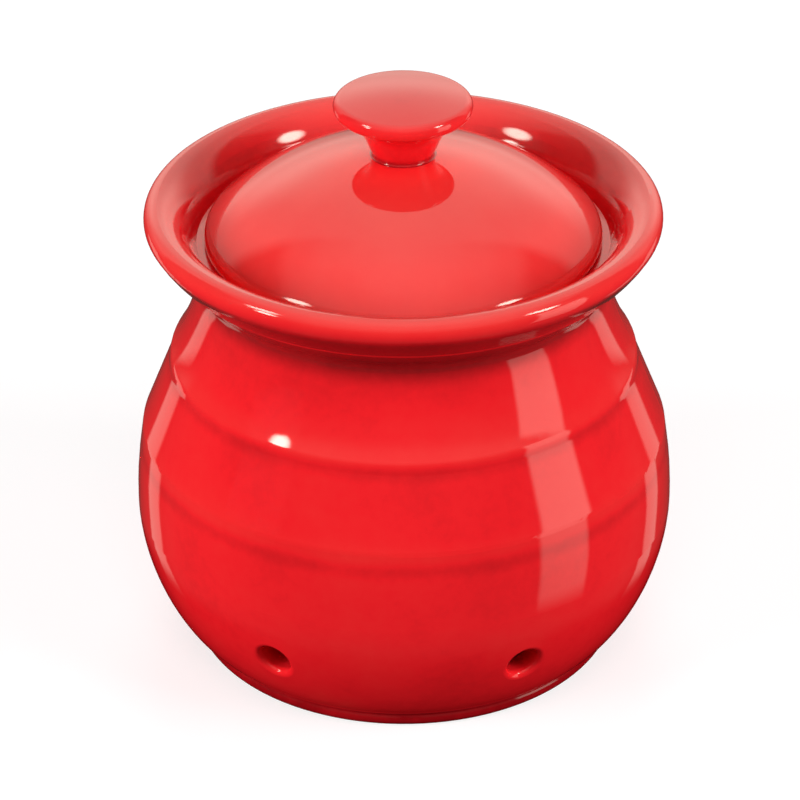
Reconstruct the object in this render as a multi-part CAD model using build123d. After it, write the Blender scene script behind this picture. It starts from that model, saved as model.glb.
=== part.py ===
"""Glazed stoneware garlic keeper: a stepped round-bellied pot, a drop-in domed lid and its mushroom knob.

Millimetres, +Z up, origin at the centre of the plane that the foot rests on, front at -Y.
Every piece is turned about Z, so its outline is drawn as (radius, height).
"""
from build123d import *
from math import atan, cos, degrees, radians, sin, sqrt
import os

# Pot: foot ring and floor
FOOT_RADIUS = 50.2  # widest part of the foot's bead
FOOT_HEIGHT = 3.4  # up to the crease where the belly starts
FOOT_CREASE = 0.6  # how far the crease lies inside the bead
FOOT_CREASE_ROUND = 0.5
FOOT_EDGE = 1.9  # width of the rounding outside the resting face
FOOT_RESTING_WIDTH = 4.0  # flat annulus that the pot stands on
RECESS_DEPTH = 2.2  # hollow under the floor, inside the foot ring
FLOOR_THICKNESS = 5.8

# Pot: belly and its two throwing steps
BELLY_RADIUS = 62.5
BELLY_HEIGHT = 34.2  # where the belly is widest
BELLY_START_ANGLE = 24.0  # slope of the wall where it leaves the foot
BELLY_START_RUN = 5.7  # how long the wall keeps near that slope
BELLY_UPRIGHT_RUN = 14.0  # how long the wall stays near upright below its widest
LOW_STEP_RADIUS = 61.3
LOW_STEP_HEIGHT = 49.4
LOW_STEP_RISE = 4.2  # near upright, from the crease up to the rounded shoulder
LOW_STEP_TAPER = 0.6
LOW_SHOULDER_ROUND = 4.5
HIGH_STEP_RADIUS = 54.05
HIGH_STEP_HEIGHT = 70.1
HIGH_STEP_RISE = 2.2
HIGH_STEP_TAPER = 0.4
HIGH_SHOULDER_ROUND = 3.0
CREASE_ROUND = 3.0  # soft inner corner below the high step

# Pot: neck, flare and rolled lip
SHOULDER_LEAN = 38.0  # lean of the wall above the high step, from upright
SHOULDER_RUN = 4.6  # how long the wall keeps near that lean
NECK_RADIUS = 46.65  # narrowest part, under the flare
NECK_HEIGHT = 91.3
NECK_LOW_RUN = 5.0  # how long the wall is near upright below the narrowest part
NECK_HIGH_RUN = 4.0  # and above it
FLARE_ANGLE = 61.0  # slope of the flare's underside where it meets the lip
FLARE_RUN = 8.6  # how long the flare keeps near that slope
LIP_RADIUS = 58.5
LIP_HEIGHT = 109.8
LIP_ROUND = 3.05
CREST_RUN = 3.2  # how long the top of the lip runs near level before it falls
FUNNEL_RUN = 4.4  # how long the funnel wall stays steep above the ledge
FUNNEL_LEAN = 16.0  # lean of the funnel wall at the ledge, from upright

# Pot: lid ledge, throat and inside
LEDGE_HEIGHT = 100.3
LEDGE_ROUND = 1.0
THROAT_RADIUS = 41.0
THROAT_LENGTH = 10.0  # straight bore below the ledge
WALL = 5.0
INNER_NECK_RUN = 10.0  # how long the hollow keeps to the throat's radius below it
INNER_HIGH_RUN = 24.0  # how long the hollow stays near upright above its widest
INNER_LOW_RUN = 17.0  # and below it
INNER_FLOOR_RADIUS = 36.0  # flat part of the floor
INNER_FLOOR_RUN = 12.0

# Pot: vents pierced low in the belly
VENT_DIAMETER = 7.6
VENT_HEIGHT = 20.4
VENT_PAIR_ANGLE = 28.0  # each vent of the front and back pairs, off the centre line
VENT_MOUTH_ROUND = 1.3

# Lid
LID_SEAT_WIDTH = 4.0  # how far the lid reaches over the ledge, out from the throat
LID_GAP = 1.8  # between the lid's edge and the funnel at the ledge
LID_HEIGHT = 21.4  # from the seat to the top of the dome's sphere
LID_EDGE_HEIGHT = 3.0  # from the seat to the corner where the dome meets the lid's side
LID_THICKNESS = 5.0
LID_EDGE_ROUND = 3.8
LID_SEAT_ROUND = 1.0
RING_DEPTH = 5.0  # locating ring that hangs below the seat
RING_THICKNESS = 4.0
RING_EDGE_ROUND = 1.2
RING_ROOT_ROUND = 3.0
RING_CLEARANCE = 0.8  # between the ring and the throat, all round

# Knob
KNOB_RADIUS = 15.6
KNOB_HEIGHT = 15.3  # from its foot to the top of its cap
KNOB_CROWN = 1.5  # rise of the cap from its rounded edge to its top
KNOB_EDGE_ROUND = 2.0
CAP_UNDERSIDE_ANGLE = 16.0  # slope of the cap's underside at its edge
CAP_UNDERSIDE_RUN = 4.5
STEM_RADIUS = 7.0
STEM_ANGLE = 66.0  # slope of the stem's side above its foot
STEM_RUN = 4.0
STEM_FOOT_SPREAD = 0.5  # how far the foot spreads where it is stuck on to the lid
STEM_FOOT_HEIGHT = 0.6

# The lid's radius, and the sphere through its dome's top and edge
LID_RADIUS = THROAT_RADIUS + LID_SEAT_WIDTH
DOME_RISE = LID_HEIGHT - LID_EDGE_HEIGHT
DOME_RADIUS = (LID_RADIUS**2 + DOME_RISE**2) / (2 * DOME_RISE)


def away(point, angle, length):
    """The point at a length from another, at an angle from level."""
    return (point[0] + length * cos(radians(angle)), point[1] + length * sin(radians(angle)))


def smooth_edge(start, start_angle, start_run, end, end_angle, end_run):
    """A curve that leaves its start and arrives at its end at given angles."""
    return Bezier(start, away(start, start_angle, start_run), away(end, end_angle, -end_run), end)


def turned(edges, corners):
    """The solid turned about Z from closed outline edges, with (point, radius) corners rounded."""
    outline = make_face(edges)
    for point, radius in corners:
        outline = fillet(outline.vertices().sort_by_distance(point)[0], radius)
    return revolve(Plane.XZ * outline, Axis.Z)


def dome_height(radius, sphere_radius):
    """Height of the lid's dome, or of its hollow, at a radius."""
    return LEDGE_HEIGHT + LID_HEIGHT - DOME_RADIUS + sqrt(sphere_radius**2 - radius**2)


def dome_arc(inner_radius, outer_radius, sphere_radius):
    """The dome's outline between two radii."""
    middle = (inner_radius + outer_radius) / 2
    radii = (inner_radius, middle, outer_radius)
    return ThreePointArc(*((radius, dome_height(radius, sphere_radius)) for radius in radii))


def make_pot():
    """The pot: foot, stepped belly, neck and flare outside; ledge, throat and hollow inside."""
    rest_outer = (FOOT_RADIUS - FOOT_EDGE, 0)
    rest_inner = (rest_outer[0] - FOOT_RESTING_WIDTH, 0)
    recess_edge = (rest_inner[0] - RECESS_DEPTH / 2, RECESS_DEPTH)
    bead = (FOOT_RADIUS, FOOT_HEIGHT / 2)
    foot_crease = (FOOT_RADIUS - FOOT_CREASE, FOOT_HEIGHT)
    belly = (BELLY_RADIUS, BELLY_HEIGHT)
    low_step = (LOW_STEP_RADIUS, LOW_STEP_HEIGHT)
    low_shoulder = (LOW_STEP_RADIUS - LOW_STEP_TAPER, LOW_STEP_HEIGHT + LOW_STEP_RISE)
    high_step = (HIGH_STEP_RADIUS, HIGH_STEP_HEIGHT)
    high_shoulder = (HIGH_STEP_RADIUS - HIGH_STEP_TAPER, HIGH_STEP_HEIGHT + HIGH_STEP_RISE)
    neck = (NECK_RADIUS, NECK_HEIGHT)
    lip_centre = (LIP_RADIUS - LIP_ROUND, LIP_HEIGHT - LIP_ROUND)
    lip_under = away(lip_centre, FLARE_ANGLE - 90, LIP_ROUND)
    lip_side = away(lip_centre, FLARE_ANGLE / 2, LIP_ROUND)
    lip_crest = (lip_centre[0], LIP_HEIGHT)
    ledge_outer = (LID_RADIUS + LID_GAP, LEDGE_HEIGHT)
    ledge_inner = (THROAT_RADIUS, LEDGE_HEIGHT)
    throat_foot = (THROAT_RADIUS, LEDGE_HEIGHT - THROAT_LENGTH)
    inner_belly = (BELLY_RADIUS - WALL, BELLY_HEIGHT)
    inner_floor = (INNER_FLOOR_RADIUS, RECESS_DEPTH + FLOOR_THICKNESS)
    outline = [
        Line((0, RECESS_DEPTH), recess_edge),
        Line(recess_edge, rest_inner),
        Line(rest_inner, rest_outer),
        ThreePointArc(rest_outer, bead, foot_crease),
        smooth_edge(foot_crease, BELLY_START_ANGLE, BELLY_START_RUN, belly, 90, BELLY_UPRIGHT_RUN),
        TangentArc(belly, low_step, tangent=(0, 1)),
        Line(low_step, low_shoulder),
        Line(low_shoulder, high_step),
        Line(high_step, high_shoulder),
        smooth_edge(high_shoulder, 90 + SHOULDER_LEAN, SHOULDER_RUN, neck, 90, NECK_LOW_RUN),
        smooth_edge(neck, 90, NECK_HIGH_RUN, lip_under, FLARE_ANGLE, FLARE_RUN),
        ThreePointArc(lip_under, lip_side, lip_crest),
        smooth_edge(lip_crest, 180, CREST_RUN, ledge_outer, 270 - FUNNEL_LEAN, FUNNEL_RUN),
        Line(ledge_outer, ledge_inner),
        Line(ledge_inner, throat_foot),
        smooth_edge(throat_foot, 270, INNER_NECK_RUN, inner_belly, 270, INNER_HIGH_RUN),
        smooth_edge(inner_belly, 270, INNER_LOW_RUN, inner_floor, 180, INNER_FLOOR_RUN),
        Line(inner_floor, (0, inner_floor[1])),
        Line((0, inner_floor[1]), (0, RECESS_DEPTH)),
    ]
    corners = [
        (low_shoulder, LOW_SHOULDER_ROUND),
        (high_step, CREASE_ROUND),
        (high_shoulder, HIGH_SHOULDER_ROUND),
        (ledge_inner, LEDGE_ROUND),
    ]
    pot = turned(outline, corners)
    crease = pot.edges().sort_by_distance((foot_crease[0], 0, foot_crease[1]))[0]
    pot = fillet(crease, FOOT_CREASE_ROUND)
    return pierce_vents(pot)


def pierce_vents(pot):
    """The pot with level round vents: a pair in front, a pair behind and one on each side."""
    angles = [-VENT_PAIR_ANGLE, VENT_PAIR_ANGLE, 90, 180 - VENT_PAIR_ANGLE, 180 + VENT_PAIR_ANGLE, 270]
    drill = Pos(0, -BELLY_RADIUS, VENT_HEIGHT) * Rot(90, 0, 0) * Cylinder(VENT_DIAMETER / 2, BELLY_RADIUS / 2)
    pot -= [Rot(0, 0, angle) * drill for angle in angles]
    closed_edges = pot.edges().filter_by(lambda edge: edge.is_closed)
    outside = [Rot(0, 0, angle) * Pos(0, -BELLY_RADIUS, VENT_HEIGHT) for angle in angles]
    mouths = [closed_edges.sort_by_distance(place.position)[0] for place in outside]
    return fillet(mouths, VENT_MOUTH_ROUND)


def make_lid():
    """The lid: a dome with a rounded edge, a flat seat, and a ring that centres it in the throat."""
    pad_radius = STEM_RADIUS + STEM_FOOT_SPREAD
    pad = (pad_radius, dome_height(pad_radius, DOME_RADIUS))
    dome_edge = (LID_RADIUS, dome_height(LID_RADIUS, DOME_RADIUS))
    seat_outer = (LID_RADIUS, LEDGE_HEIGHT)
    ring_outer = THROAT_RADIUS - RING_CLEARANCE
    ring_inner = ring_outer - RING_THICKNESS
    ring_foot = LEDGE_HEIGHT - RING_DEPTH
    hollow_radius = DOME_RADIUS - LID_THICKNESS
    ring_root = (ring_inner, dome_height(ring_inner, hollow_radius))
    hollow_top = (0, dome_height(0, hollow_radius))
    outline = [
        Line((0, pad[1]), pad),
        dome_arc(pad_radius, LID_RADIUS, DOME_RADIUS),
        Line(dome_edge, seat_outer),
        Line(seat_outer, (ring_outer, LEDGE_HEIGHT)),
        Line((ring_outer, LEDGE_HEIGHT), (ring_outer, ring_foot)),
        Line((ring_outer, ring_foot), (ring_inner, ring_foot)),
        Line((ring_inner, ring_foot), ring_root),
        dome_arc(ring_inner, 0, hollow_radius),
        Line(hollow_top, (0, pad[1])),
    ]
    corners = [
        (dome_edge, LID_EDGE_ROUND),
        (seat_outer, LID_SEAT_ROUND),
        ((ring_outer, ring_foot), RING_EDGE_ROUND),
        ((ring_inner, ring_foot), RING_EDGE_ROUND),
        (ring_root, RING_ROOT_ROUND),
    ]
    return turned(outline, corners)


def make_knob():
    """The mushroom knob, seated on the flat pad at the top of the dome."""
    foot_radius = STEM_RADIUS + STEM_FOOT_SPREAD
    foot_height = dome_height(foot_radius, DOME_RADIUS)
    foot = (foot_radius, foot_height)
    stem = (STEM_RADIUS, foot_height + STEM_FOOT_HEIGHT)
    hollow = 1 - cos(radians(45))
    foot_middle = (STEM_RADIUS + STEM_FOOT_SPREAD * hollow, foot_height + STEM_FOOT_HEIGHT * hollow)
    top = (0, foot_height + KNOB_HEIGHT)
    edge_centre = (KNOB_RADIUS - KNOB_EDGE_ROUND, top[1] - KNOB_CROWN - KNOB_EDGE_ROUND)
    crown_angle = degrees(2 * atan(KNOB_CROWN / edge_centre[0]))
    crown_radius = KNOB_EDGE_ROUND + edge_centre[0] / sin(radians(crown_angle))
    crown_centre = (0, top[1] - crown_radius)
    crown_middle = away(crown_centre, 90 - crown_angle / 2, crown_radius)
    edge_top = away(edge_centre, 90 - crown_angle, KNOB_EDGE_ROUND)
    edge_side = away(edge_centre, 0, KNOB_EDGE_ROUND)
    edge_under = away(edge_centre, CAP_UNDERSIDE_ANGLE - 90, KNOB_EDGE_ROUND)
    outline = [
        Line((0, foot_height), foot),
        ThreePointArc(foot, foot_middle, stem),
        smooth_edge(stem, STEM_ANGLE, STEM_RUN, edge_under, CAP_UNDERSIDE_ANGLE, CAP_UNDERSIDE_RUN),
        ThreePointArc(edge_under, edge_side, edge_top),
        ThreePointArc(edge_top, crown_middle, top),
        Line(top, (0, foot_height)),
    ]
    return turned(outline, [])


pieces = {"pot": make_pot(), "lid": make_lid(), "lid_knob": make_knob()}
os.makedirs("parts", exist_ok=True)
for name, piece in pieces.items():
    export_step(piece, f"parts/{name}.step")
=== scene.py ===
from math import cos, pi, radians, sin

import bmesh
import bpy
from mathutils import Matrix, Vector


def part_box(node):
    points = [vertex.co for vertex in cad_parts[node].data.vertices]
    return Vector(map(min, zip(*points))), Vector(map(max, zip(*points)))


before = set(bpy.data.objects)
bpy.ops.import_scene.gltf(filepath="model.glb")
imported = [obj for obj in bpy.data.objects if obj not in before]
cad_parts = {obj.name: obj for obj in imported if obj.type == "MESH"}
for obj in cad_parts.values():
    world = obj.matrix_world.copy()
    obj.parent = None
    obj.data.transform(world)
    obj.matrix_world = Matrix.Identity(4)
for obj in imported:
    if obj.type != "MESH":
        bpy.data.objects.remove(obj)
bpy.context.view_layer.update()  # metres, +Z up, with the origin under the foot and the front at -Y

# ---------------------------------------------------------------- pot
# A thrown and stepped stoneware pot, dipped in red glaze and fired glossy. The glaze is painted lighter over
# the lip and the shoulders of the steps as painted highlight, and darker in their creases, under the lip and
# at the foot as painted shade. The foot's resting face is wiped bare, so that it doesn't stick to the kiln
# shelf.
POT_PAINTED_SHADING = (  # a height, and the painted light there: 0 is painted highlight, 0.5 the glaze's own even red and 1 painted shade
    (0.0000, 1.00),  # foot, in painted shade
    (0.0024, 0.98),
    (0.0034, 1.00),
    (0.0056, 0.50),  # belly
    (0.0300, 0.48),
    (0.0465, 0.50),
    (0.0494, 0.62),  # crease of the low step, in painted shade
    (0.0525, 0.40),  # its shoulder, as painted highlight
    (0.0575, 0.48),
    (0.0675, 0.50),
    (0.0701, 0.62),  # crease of the high step, in painted shade
    (0.0728, 0.36),  # its shoulder, as painted highlight
    (0.0780, 0.48),
    (0.0870, 0.54),  # neck
    (0.0925, 0.92),  # flare, under the lip, in painted shade
    (0.1035, 1.00),
    (0.1062, 0.46),  # lip, as painted highlight
    (0.1085, 0.26),
    (0.1098, 0.22),
)
POT_FOOT_BARE = 0.0005  # bare clay up to this height
POT_LEDGE = 0.0990  # over this height, and inside this radius, is the funnel of the mouth
POT_FUNNEL = 0.0540
POT_FUNNEL_SHADE_CAP = 0.55  # the painted shade in it is no darker than this

# The glaze: its colour by its level of painted highlight and shade, how far its patterns change that level,
# its gloss and its relief
# The lightest red is painted highlight and the darkest red is painted shade; the middle one is the glaze's
# own red.
HIGHLIGHT_RED = (0.880, 0.0340, 0.0300, 1)
EVEN_RED = (0.863, 0.0116, 0.0176, 1)
SHADE_RED = (0.290, 0.0034, 0.0062, 1)
RED_BY_SHADING = ((0.1, HIGHLIGHT_RED), (0.5, EVEN_RED), (1.0, SHADE_RED))
CLOUD_DEPTH = 0.35
MOTTLE_DEPTH = 0.16
GLAZE_ROUGHNESS = 0.03
CLOUD_ROUGHNESS = 0.04  # this much rougher in the middle of a cloud
GLAZE_IOR = 1.5
DIP_HEIGHT = 0.00010
PEEL_HEIGHT = 0.0000012

# The clay: buff by its grain, with specks of brown grog
BUFF_BY_GRAIN = ((0.25, (0.47, 0.34, 0.22, 1)), (0.55, (0.62, 0.47, 0.33, 1)), (0.80, (0.74, 0.60, 0.45, 1)))
GROG_BROWN = (0.25, 0.16, 0.10, 1)
GROG_SCALE = 700.0
GROG_BY_DISTANCE = ((0.10, 1.0), (0.18, 0.0))
GRAIN_HEIGHT = 0.00008
CLAY_ROUGHNESS = 0.88
WIPE_WANDER = 0.0006  # how far the wiped edge of the glaze wanders up and down

# The patterns: scale, detail and roughness
CLOUDS = (45.0, 3.0, 0.5)
MOTTLE = (420.0, 4.0, 0.6)
DIP_WAVES = (38.0, 1.0, 0.4)
ORANGE_PEEL = (900.0, 2.0, 0.5)
CLAY_GRAIN = (1400.0, 5.0, 0.7)
WIPED_EDGE = (120.0, 3.0, 0.6)


def blank_material(name):
    """A new material with an empty node tree, and that tree."""
    material = bpy.data.materials.new(name)
    material.use_nodes = True
    material.node_tree.nodes.clear()
    return material, material.node_tree


def feed(tree, socket, value):
    """Links another node's output to a socket, or sets the socket to a plain value."""
    if isinstance(value, bpy.types.NodeSocket):
        tree.links.new(value, socket)
    else:
        socket.default_value = value


def node(tree, kind, **settings):
    """A new shader node. A setting names one of its properties, or with a capital one of its inputs."""
    new = tree.nodes.new("ShaderNode" + kind)
    for name, value in settings.items():
        if hasattr(new, name):
            setattr(new, name, value)
        else:
            feed(tree, new.inputs[name.replace("_", " ")], value)
    return new


def sums(tree, operation, *values):
    """The output of a Math node on numbers or sockets."""
    new = tree.nodes.new("ShaderNodeMath")
    new.operation = operation
    for socket, value in zip(new.inputs, values):
        feed(tree, socket, value)
    return new.outputs[0]


def ramp(tree, position, stops, interpolation="EASE"):
    """The colour output of a ramp with these (position, grey or colour) stops."""
    new = tree.nodes.new("ShaderNodeValToRGB")
    new.color_ramp.interpolation = interpolation
    elements = new.color_ramp.elements
    while len(elements) < len(stops):
        elements.new(1.0)
    for element, (place, colour) in zip(elements, stops):
        element.position = place
        element.color = colour if isinstance(colour, tuple) else (colour, colour, colour, 1)
    tree.links.new(position, new.inputs[0])
    return new.outputs[0]


def noise(tree, place, pattern):
    """The value of a noise pattern at a place."""
    scale, detail, roughness = pattern
    return node(tree, "TexNoise", Vector=place, Scale=scale, Detail=detail, Roughness=roughness).outputs[0]


def bump(tree, height, distance, **under):
    """A relief of a height pattern this deep, over another relief if one is given as its Normal."""
    return node(tree, "Bump", Height=height, Strength=1.0, Distance=distance, **under).outputs[0]


def mixed(tree, share, first, second):
    """Two shaders, mixed by the second one's share."""
    new = node(tree, "MixShader", Fac=share)
    tree.links.new(first, new.inputs[1])
    tree.links.new(second, new.inputs[2])
    return new.outputs[0]


def show(tree, surface, kind="Material"):
    """Sends a shader to the output of a material or of the world."""
    tree.links.new(surface, tree.nodes.new("ShaderNodeOutput" + kind).inputs["Surface"])


def red_glaze(tree, place, painted_bands):
    """Glossy red glaze with the painted highlight and shade of its bands, slow clouds and small mottling."""
    clouds = noise(tree, place, CLOUDS)
    mottle = noise(tree, place, MOTTLE)
    # the bands' painted highlight and shade, moved by the clouds and the mottling
    tone_level = sums(tree, "MULTIPLY_ADD", sums(tree, "SUBTRACT", clouds, 0.5), CLOUD_DEPTH, painted_bands)
    tone_level = sums(tree, "MULTIPLY_ADD", sums(tree, "SUBTRACT", mottle, 0.5), MOTTLE_DEPTH, tone_level)
    red = ramp(tree, tone_level, RED_BY_SHADING, "LINEAR")
    dipped = bump(tree, noise(tree, place, DIP_WAVES), DIP_HEIGHT)
    skin = bump(tree, noise(tree, place, ORANGE_PEEL), PEEL_HEIGHT, Normal=dipped)
    roughness = sums(tree, "MULTIPLY_ADD", clouds, CLOUD_ROUGHNESS, GLAZE_ROUGHNESS)
    glaze = node(tree, "BsdfPrincipled", Base_Color=red, Roughness=roughness, IOR=GLAZE_IOR, Normal=skin)
    return glaze.outputs[0]


def buff_clay(tree, place):
    """Dry buff clay, with an open grain and specks of grog."""
    grain = noise(tree, place, CLAY_GRAIN)
    grog = node(tree, "TexVoronoi", Vector=place, Scale=GROG_SCALE).outputs["Distance"]
    speckled = node(tree, "Mix", data_type="RGBA")
    feed(tree, speckled.inputs["Factor"], ramp(tree, grog, GROG_BY_DISTANCE))
    feed(tree, speckled.inputs["A"], ramp(tree, grain, BUFF_BY_GRAIN))
    feed(tree, speckled.inputs["B"], GROG_BROWN)
    buff = speckled.outputs["Result"]
    skin = bump(tree, grain, GRAIN_HEIGHT)
    return node(tree, "BsdfPrincipled", Base_Color=buff, Roughness=CLAY_ROUGHNESS, Normal=skin).outputs[0]


def glazed_clay(name, shading_by_height, bare, shade_cap=None):
    """Red glaze over buff clay.

    The pairs by height: (height, level) pairs of painted highlight and shade on the glaze, as on the pot.
    bare: gives a
    0 to 1 mask of the clay left bare, from the tree, the height, the radius and a wandering value. The last
    argument, if given, gives the darkest painted shade allowed, from the tree, the height and the radius.
    """
    material, tree = blank_material(name)
    place = tree.nodes.new("ShaderNodeTexCoord").outputs["Object"]
    x, y, height = node(tree, "SeparateXYZ", Vector=place).outputs
    squares = sums(tree, "ADD", sums(tree, "MULTIPLY", x, x), sums(tree, "MULTIPLY", y, y))
    radius = sums(tree, "SQRT", squares)

    low, high = shading_by_height[0][0], shading_by_height[-1][0]
    share = sums(tree, "DIVIDE", sums(tree, "SUBTRACT", height, low), high - low)
    painted_bands = ramp(tree, share, [((level - low) / (high - low), tone_level) for level, tone_level in shading_by_height])
    if shade_cap:
        painted_bands = sums(tree, "MINIMUM", painted_bands, shade_cap(tree, height, radius))

    wiped = bare(tree, height, radius, noise(tree, place, WIPED_EDGE))
    show(tree, mixed(tree, wiped, red_glaze(tree, place, painted_bands), buff_clay(tree, place)))
    return material


def dress(part, material):
    """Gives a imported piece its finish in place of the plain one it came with."""
    part.data.materials.clear()
    part.data.materials.append(material)


def wiped_line(tree, middle, wander):
    """The height of the glaze's wiped edge."""
    return sums(tree, "MULTIPLY_ADD", wander, WIPE_WANDER, middle - WIPE_WANDER / 2)


def foot_face(tree, height, radius, wander):
    """Bare on the foot's resting face, up to a line on its rounded edge."""
    return sums(tree, "LESS_THAN", height, wiped_line(tree, POT_FOOT_BARE, wander))


def funnel_shade_cap(tree, height, radius):
    """Holds the painted shade in the mouth's funnel to a lighter level, so the shade painted under the lip
    stays outside.
    """
    above = sums(tree, "GREATER_THAN", height, POT_LEDGE)
    within = sums(tree, "LESS_THAN", radius, POT_FUNNEL)
    return sums(tree, "MULTIPLY_ADD", sums(tree, "MULTIPLY", above, within), POT_FUNNEL_SHADE_CAP - 1, 1)


dress(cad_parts["pot"], glazed_clay("pot_glaze", POT_PAINTED_SHADING, foot_face, funnel_shade_cap))

# ---------------------------------------------------------------- lid
# The domed lid, thrown with a locating ring that drops into the throat, and glazed over the dome. Its seat
# and the outside of the ring stay bare, so that the lid doesn't fuse to the pot in the kiln.
LID_SEAT = 0.1003  # the ledge that the lid rests on
LID_RIM_LIFT = 0.0003  # the glaze starts this far above the seat
LID_RING_INSIDE = 0.0370  # the hollow inside this radius is glazed
# Painted light on the lid: its edge and dome are painted lighter as a painted reflection of the bright tent
# above, and the ring around the knob's stem darker as painted shade.
LID_PAINTED_SHADING = (
    (0.0950, 0.45),  # ring
    (0.1003, 0.50),  # seat
    (0.1028, 0.24),  # edge, painted lighter as painted reflection
    (0.1048, 0.28),
    (0.1140, 0.24),  # dome, painted lighter as painted reflection
    (0.1168, 0.14),
    (0.1204, 0.14),
    (0.1222, 0.60),  # around the knob's stem, in painted shade
)


def seat_and_ring(tree, height, radius, wander):
    """Bare below the lid's edge and outside the ring's hollow."""
    below = sums(tree, "LESS_THAN", height, wiped_line(tree, LID_SEAT + LID_RIM_LIFT, wander))
    outside = sums(tree, "GREATER_THAN", radius, LID_RING_INSIDE)
    return sums(tree, "MULTIPLY", below, outside)


dress(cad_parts["lid"], glazed_clay("lid_glaze", LID_PAINTED_SHADING, seat_and_ring))

# ---------------------------------------------------------------- lid knob
# A turned mushroom knob on a waisted stem. It is joined to the dome with slip before glazing, and fired as
# one with it, so it is glazed all over.
knob_low, knob_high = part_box("lid_knob")
# The knob's glaze is painted darker at the foot of the stem, under the cap, as painted shade, and lighter at
# the cap's edge as painted highlight.
KNOB_PAINTED_SHADING = (
    (knob_low.z, 0.90),  # foot of the stem, in painted shade
    (knob_low.z + 0.0020, 0.60),
    (knob_low.z + 0.0060, 0.50),
    (knob_high.z - 0.0030, 0.35),  # edge of the cap, as painted highlight
    (knob_high.z - 0.0010, 0.40),
    (knob_high.z, 0.50),  # top of the cap
)


def nowhere(tree, height, radius, wander):
    """No clay left bare."""
    return sums(tree, "LESS_THAN", height, 0.0)


dress(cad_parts["lid_knob"], glazed_clay("lid_knob_glaze", KNOB_PAINTED_SHADING, nowhere))

# ---------------------------------------------------------------- table
# A pale table top under a white room. The eye sees it as near white with the pot's soft shadow on it. The
# glaze mirrors only a dark patch right around the foot, and the tent beyond it.
TABLE_SIZE = 12.0
TABLE_FADE = (0.45, 0.95)  # distances from the pot between which the shaded top turns into plain white
TABLE_GREY = (0.42, 0.04)  # how much light it scatters at those distances
TABLE_WHITE = (0.68, 0.97)  # and how white it is by itself
GLOW_REACH = (0.12, 0.18)  # the light that it throws up on the pot ends between these distances
GLOW = (0.18, 0.0)
GLOW_TINT = (1, 0.97, 0.94, 1)
PATCH_REACH = (0.075, 0.090)  # the dark patch ends between these distances
PATCH_CLEAR = (0.0, 1.0)
WHITE = (1, 1, 1, 1)
ROOM_SEEN = 1.0
ROOM_FILL = 0.02


def light_rays(tree):
    """1 for rays that look at the background itself: straight, mirrored or through glass."""
    rays = tree.nodes.new("ShaderNodeLightPath").outputs
    seen = sums(tree, "MAXIMUM", rays["Is Camera Ray"], rays["Is Glossy Ray"])
    return sums(tree, "MAXIMUM", seen, rays["Is Transmission Ray"])


def staged(name, mesh, material):
    """A stage object, not part of the keeper."""
    built = bpy.data.meshes.new(name)
    mesh.to_mesh(built)
    mesh.free()
    built.materials.append(material)
    thing = bpy.data.objects.new(name, built)
    bpy.context.scene.collection.objects.link(thing)
    return thing


def by_distance(tree, away, distances, levels):
    """A level that changes between two distances from the pot."""
    return ramp(tree, away, list(zip(distances, levels)))


def pale_table_top():
    """The table's looks: near white to the eye, a faint glow for the pot, and a dark patch for the glaze."""
    material, tree = blank_material("pale_table_top")
    place = tree.nodes.new("ShaderNodeTexCoord").outputs["Object"]
    length = node(tree, "VectorMath", operation="LENGTH")
    tree.links.new(place, length.inputs[0])
    away = length.outputs["Value"]

    shade = node(tree, "BsdfDiffuse", Color=by_distance(tree, away, TABLE_FADE, TABLE_GREY))
    white = node(tree, "Emission", Color=WHITE, Strength=by_distance(tree, away, TABLE_FADE, TABLE_WHITE))
    seen = node(tree, "AddShader")
    tree.links.new(shade.outputs[0], seen.inputs[0])
    tree.links.new(white.outputs[0], seen.inputs[1])
    glow = node(tree, "Emission", Color=GLOW_TINT, Strength=by_distance(tree, away, GLOW_REACH, GLOW))
    clear = node(tree, "BsdfTransparent", Color=by_distance(tree, away, PATCH_REACH, PATCH_CLEAR))
    plain = mixed(tree, light_rays(tree), glow.outputs[0], seen.outputs[0])
    mirrored = tree.nodes.new("ShaderNodeLightPath").outputs["Is Glossy Ray"]
    show(tree, mixed(tree, mirrored, plain, clear.outputs[0]))
    material.cycles.emission_sampling = "NONE"
    return material


def white_room():
    """The world: white to the eye, and a faint fill for everything else."""
    room = bpy.data.worlds.new("white_room")
    room.use_nodes = True
    tree = room.node_tree
    tree.nodes.clear()
    fill = node(tree, "Background", Color=WHITE, Strength=ROOM_FILL)
    seen = node(tree, "Background", Color=WHITE, Strength=ROOM_SEEN)
    show(tree, mixed(tree, light_rays(tree), fill.outputs[0], seen.outputs[0]), "World")
    return room


top = bmesh.new()
bmesh.ops.create_grid(top, x_segments=1, y_segments=1, size=TABLE_SIZE / 2)
staged("table", top, pale_table_top())
bpy.context.scene.world = white_room()

# ---------------------------------------------------------------- light tent
# The studio's light: a white tent, open and dark low down at the front, with lamps and upright strips behind
# its cloth. The glaze mirrors the tent's dome. What falls on the pot comes from soft lamps in much the same
# places, and the glaze doesn't see those a second time.
EYE = Vector((0, 0, 0.062))  # directions are taken from the pot's middle
TENT_RADIUS = 3.0
TENT_SEGMENTS = (96, 48)
TENT_TINT = (1, 0.97, 0.84, 1)

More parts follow.
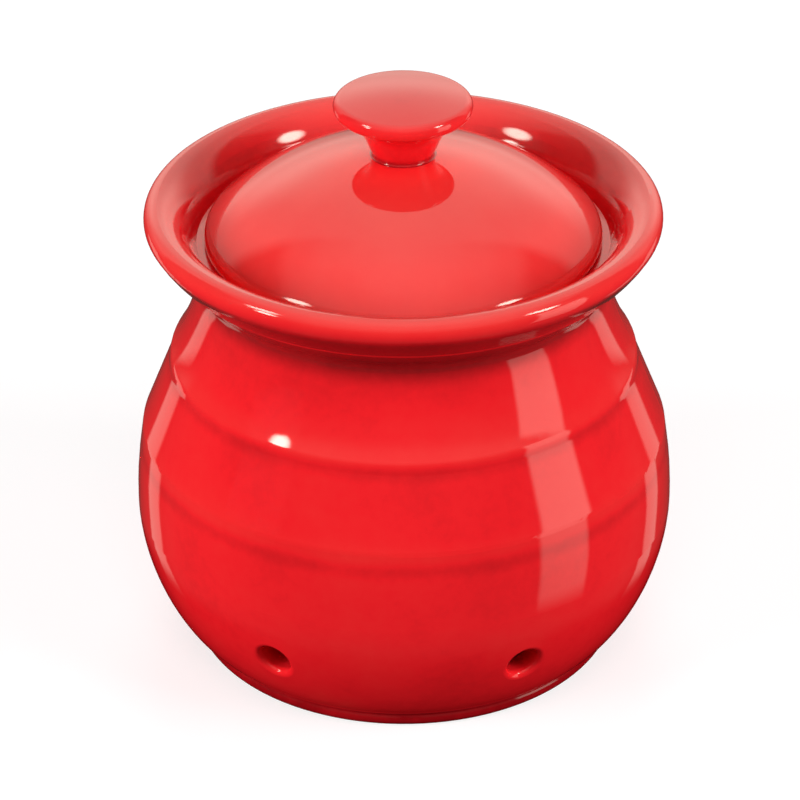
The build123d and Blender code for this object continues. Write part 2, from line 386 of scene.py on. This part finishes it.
# How bright the cloth is at each elevation, at the front and further round
TENT_FRONT = (
    (-90, 0.10),
    (-2, 0.07),
    (8, 0.09),
    (16, 0.18),
    (30, 0.52),
    (42, 0.82),
    (62, 1.14),
    (78, 1.60),
    (90, 1.80),
)
TENT_SIDES = (
    (-90, 0.04),
    (0, 0.10),
    (28, 0.16),
    (42, 0.24),
    (52, 0.90),
    (64, 1.30),
    (78, 1.62),
    (90, 1.80),
)
TENT_CORNERS = (
    (-90, 0.03),
    (-8, 0.06),
    (6, 0.45),
    (18, 0.90),
    (30, 1.10),
    (46, 1.35),
    (62, 1.60),
    (90, 1.80),
)
TENT_BACK = (
    (-90, 0.02),
    (-14, 0.05),
    (-3, 0.60),
    (8, 1.35),
    (20, 1.90),
    (34, 1.62),
    (50, 1.60),
    (70, 1.70),
    (90, 1.80),
)
TENT_ROUND = (  # each further part of the cloth, and the azimuths between which it takes over
    (TENT_SIDES, 68, 90),
    (TENT_CORNERS, 114, 124),
    (TENT_BACK, 136, 156),
)
TENT_BRIGHTEST = 4  # a ramp holds 0 to 1, so brightness is kept as a share of this

# Each lamp behind the cloth: azimuth, elevation, half width at full light and where it fades out, brightness
TENT_LAMPS = (
    (-60, 25, 2.0, 6.0, 26.0),
    (-68, 39, 3.5, 8.0, 18.0),
    (68, 36, 3.5, 8.0, 20.0),
)

# Each strip: its azimuths, its elevations, its brightness at the top and at the bottom
TENT_STRIPS = (
    (57, 84, -33, 26, 2.5, 1.1),
    (-139, -123, -46, -4, 1.0, 0.7),
    (123, 139, -46, -4, 1.0, 0.7),
)
STRIP_SIDE_FADE = 3
STRIP_FOOT_FADE = 4
STRIP_HEAD_FADE = 8
STRIP_TOP_FROM = 5  # from this elevation up it has its top brightness


def direction(azimuth, elevation):
    """A unit vector. Azimuth 0 is the front, -Y, and +90 the right, +X."""
    side, tilt = radians(azimuth), radians(elevation)
    return Vector((sin(side) * cos(tilt), -cos(side) * cos(tilt), sin(tilt)))


def rise(tree, value, low, high):
    """0 at low, 1 at high and a smooth step between them, whichever of the two is the greater."""
    new = tree.nodes.new("ShaderNodeMapRange")
    new.interpolation_type = "SMOOTHSTEP"
    tree.links.new(value, new.inputs["Value"])
    new.inputs["From Min"].default_value = low
    new.inputs["From Max"].default_value = high
    return new.outputs["Result"]


def by_elevation(tree, elevation, levels):
    """The brightness at an elevation in radians, from (degrees, brightness) pairs."""
    stops = [((degrees + 90) / 180, level / TENT_BRIGHTEST) for degrees, level in levels]
    share = sums(tree, "MULTIPLY_ADD", elevation, 1 / pi, 0.5)
    return sums(tree, "MULTIPLY", ramp(tree, share, stops), TENT_BRIGHTEST)


def within(tree, angle, low, high, low_fade, high_fade):
    """1 between two angles in degrees, fading to 0 at both. The angle itself is in radians."""
    after = rise(tree, angle, radians(low), radians(low + low_fade))
    before = rise(tree, angle, radians(high), radians(high - high_fade))
    return sums(tree, "MULTIPLY", after, before)


def tent_glow(tree):
    """How bright the tent is in each direction from the pot."""
    place = tree.nodes.new("ShaderNodeTexCoord").outputs["Object"]
    out = node(tree, "VectorMath", operation="SUBTRACT")
    tree.links.new(place, out.inputs[0])
    out.inputs[1].default_value = EYE
    unit = node(tree, "VectorMath", operation="NORMALIZE")
    tree.links.new(out.outputs[0], unit.inputs[0])
    x, y, z = node(tree, "SeparateXYZ", Vector=unit.outputs[0]).outputs
    elevation = sums(tree, "ARCSINE", z)
    azimuth = sums(tree, "ARCTAN2", x, sums(tree, "MULTIPLY", y, -1))
    around = sums(tree, "ABSOLUTE", azimuth)

    glow = by_elevation(tree, elevation, TENT_FRONT)
    for levels, start, end in TENT_ROUND:
        change = sums(tree, "SUBTRACT", by_elevation(tree, elevation, levels), glow)
        glow = sums(tree, "MULTIPLY_ADD", change, rise(tree, around, radians(start), radians(end)), glow)

    for lamp_azimuth, lamp_elevation, full, fade, brightness in TENT_LAMPS:
        near = node(tree, "VectorMath", operation="DOT_PRODUCT")
        tree.links.new(unit.outputs[0], near.inputs[0])
        near.inputs[1].default_value = direction(lamp_azimuth, lamp_elevation)
        spot = rise(tree, near.outputs["Value"], cos(radians(fade)), cos(radians(full)))
        glow = sums(tree, "MULTIPLY_ADD", spot, brightness, glow)

    for left, right, low, high, top_level, foot_level in TENT_STRIPS:
        across = within(tree, azimuth, left, right, STRIP_SIDE_FADE, STRIP_SIDE_FADE)
        upright = within(tree, elevation, low, high, STRIP_FOOT_FADE, STRIP_HEAD_FADE)
        climb = rise(tree, elevation, radians(low), radians(STRIP_TOP_FROM))
        level = sums(tree, "MULTIPLY_ADD", climb, top_level - foot_level, foot_level)
        strip = sums(tree, "MULTIPLY", sums(tree, "MULTIPLY", across, upright), level)
        glow = sums(tree, "MAXIMUM", glow, strip)
    return glow


def tent_cloth():
    """White cloth, lit from behind."""
    material, tree = blank_material("tent_cloth")
    show(tree, node(tree, "Emission", Color=TENT_TINT, Strength=tent_glow(tree)).outputs[0])
    material.cycles.emission_sampling = "NONE"
    return material


dome = bmesh.new()
segments, rings = TENT_SEGMENTS
bmesh.ops.create_uvsphere(dome, u_segments=segments, v_segments=rings, radius=TENT_RADIUS)
bmesh.ops.translate(dome, verts=dome.verts, vec=EYE)
tent = staged("tent", dome, tent_cloth())
tent.visible_camera = False
tent.visible_diffuse = False
tent.visible_shadow = False
tent.visible_transmission = False

LAMP_SIZE = 0.5
LAMP_DISTANCE = 1.1
SOFT_LAMPS = (  # azimuth, elevation and brightness
    ("left_lamp", -62, 14, 14.8),
    ("front_lamp", 0, 50, 3.4),
    ("right_lamp", 68, 14, 11.2),
    ("right_high_lamp", 66, 37, 3.1),
    ("back_lamp", 180, 40, 3.6),
    ("back_low_lamp", 180, 6, 7.0),
)

for name, azimuth, elevation, brightness in SOFT_LAMPS:
    light = bpy.data.lights.new(name, "AREA")
    light.size = LAMP_SIZE
    light.energy = brightness * pi * LAMP_SIZE**2
    lamp = bpy.data.objects.new(name, light)
    towards = direction(azimuth, elevation)
    stand = Matrix.Translation(EYE + towards * LAMP_DISTANCE)
    lamp.matrix_world = stand @ towards.to_track_quat("Z", "Y").to_matrix().to_4x4()
    lamp.visible_camera = False
    lamp.visible_glossy = False
    bpy.context.scene.collection.objects.link(lamp)

# ---------------------------------------------------------------- camera
# A long lens, a little to the right of straight ahead and looking down on the lid. It is held a fifth of a
# degree off level.
VIEW_AZIMUTH = 1.5
VIEW_ELEVATION = 30.55
VIEW_DISTANCE = 0.814
VIEW_TARGET = Vector((0, 0, 0.05727))
VIEW_SIDE = 0.0009  # the aim is this far to the left of the pot's axis
VIEW_ROLL = -0.21
LENS = 157.5
SENSOR_WIDTH = 36

back = direction(VIEW_AZIMUTH, VIEW_ELEVATION)
turn = back.to_track_quat("Z", "Y")
aim = VIEW_TARGET - turn @ Vector((VIEW_SIDE, 0, 0))
held = turn.to_matrix().to_4x4() @ Matrix.Rotation(radians(VIEW_ROLL), 4, "Z")
camera = bpy.data.objects.new("camera", bpy.data.cameras.new("camera"))
camera.data.lens = LENS
camera.data.sensor_width = SENSOR_WIDTH
camera.matrix_world = Matrix.Translation(aim + back * VIEW_DISTANCE) @ held
bpy.context.scene.collection.objects.link(camera)
bpy.context.scene.camera = camera
bpy.context.scene.view_settings.view_transform = "Standard"
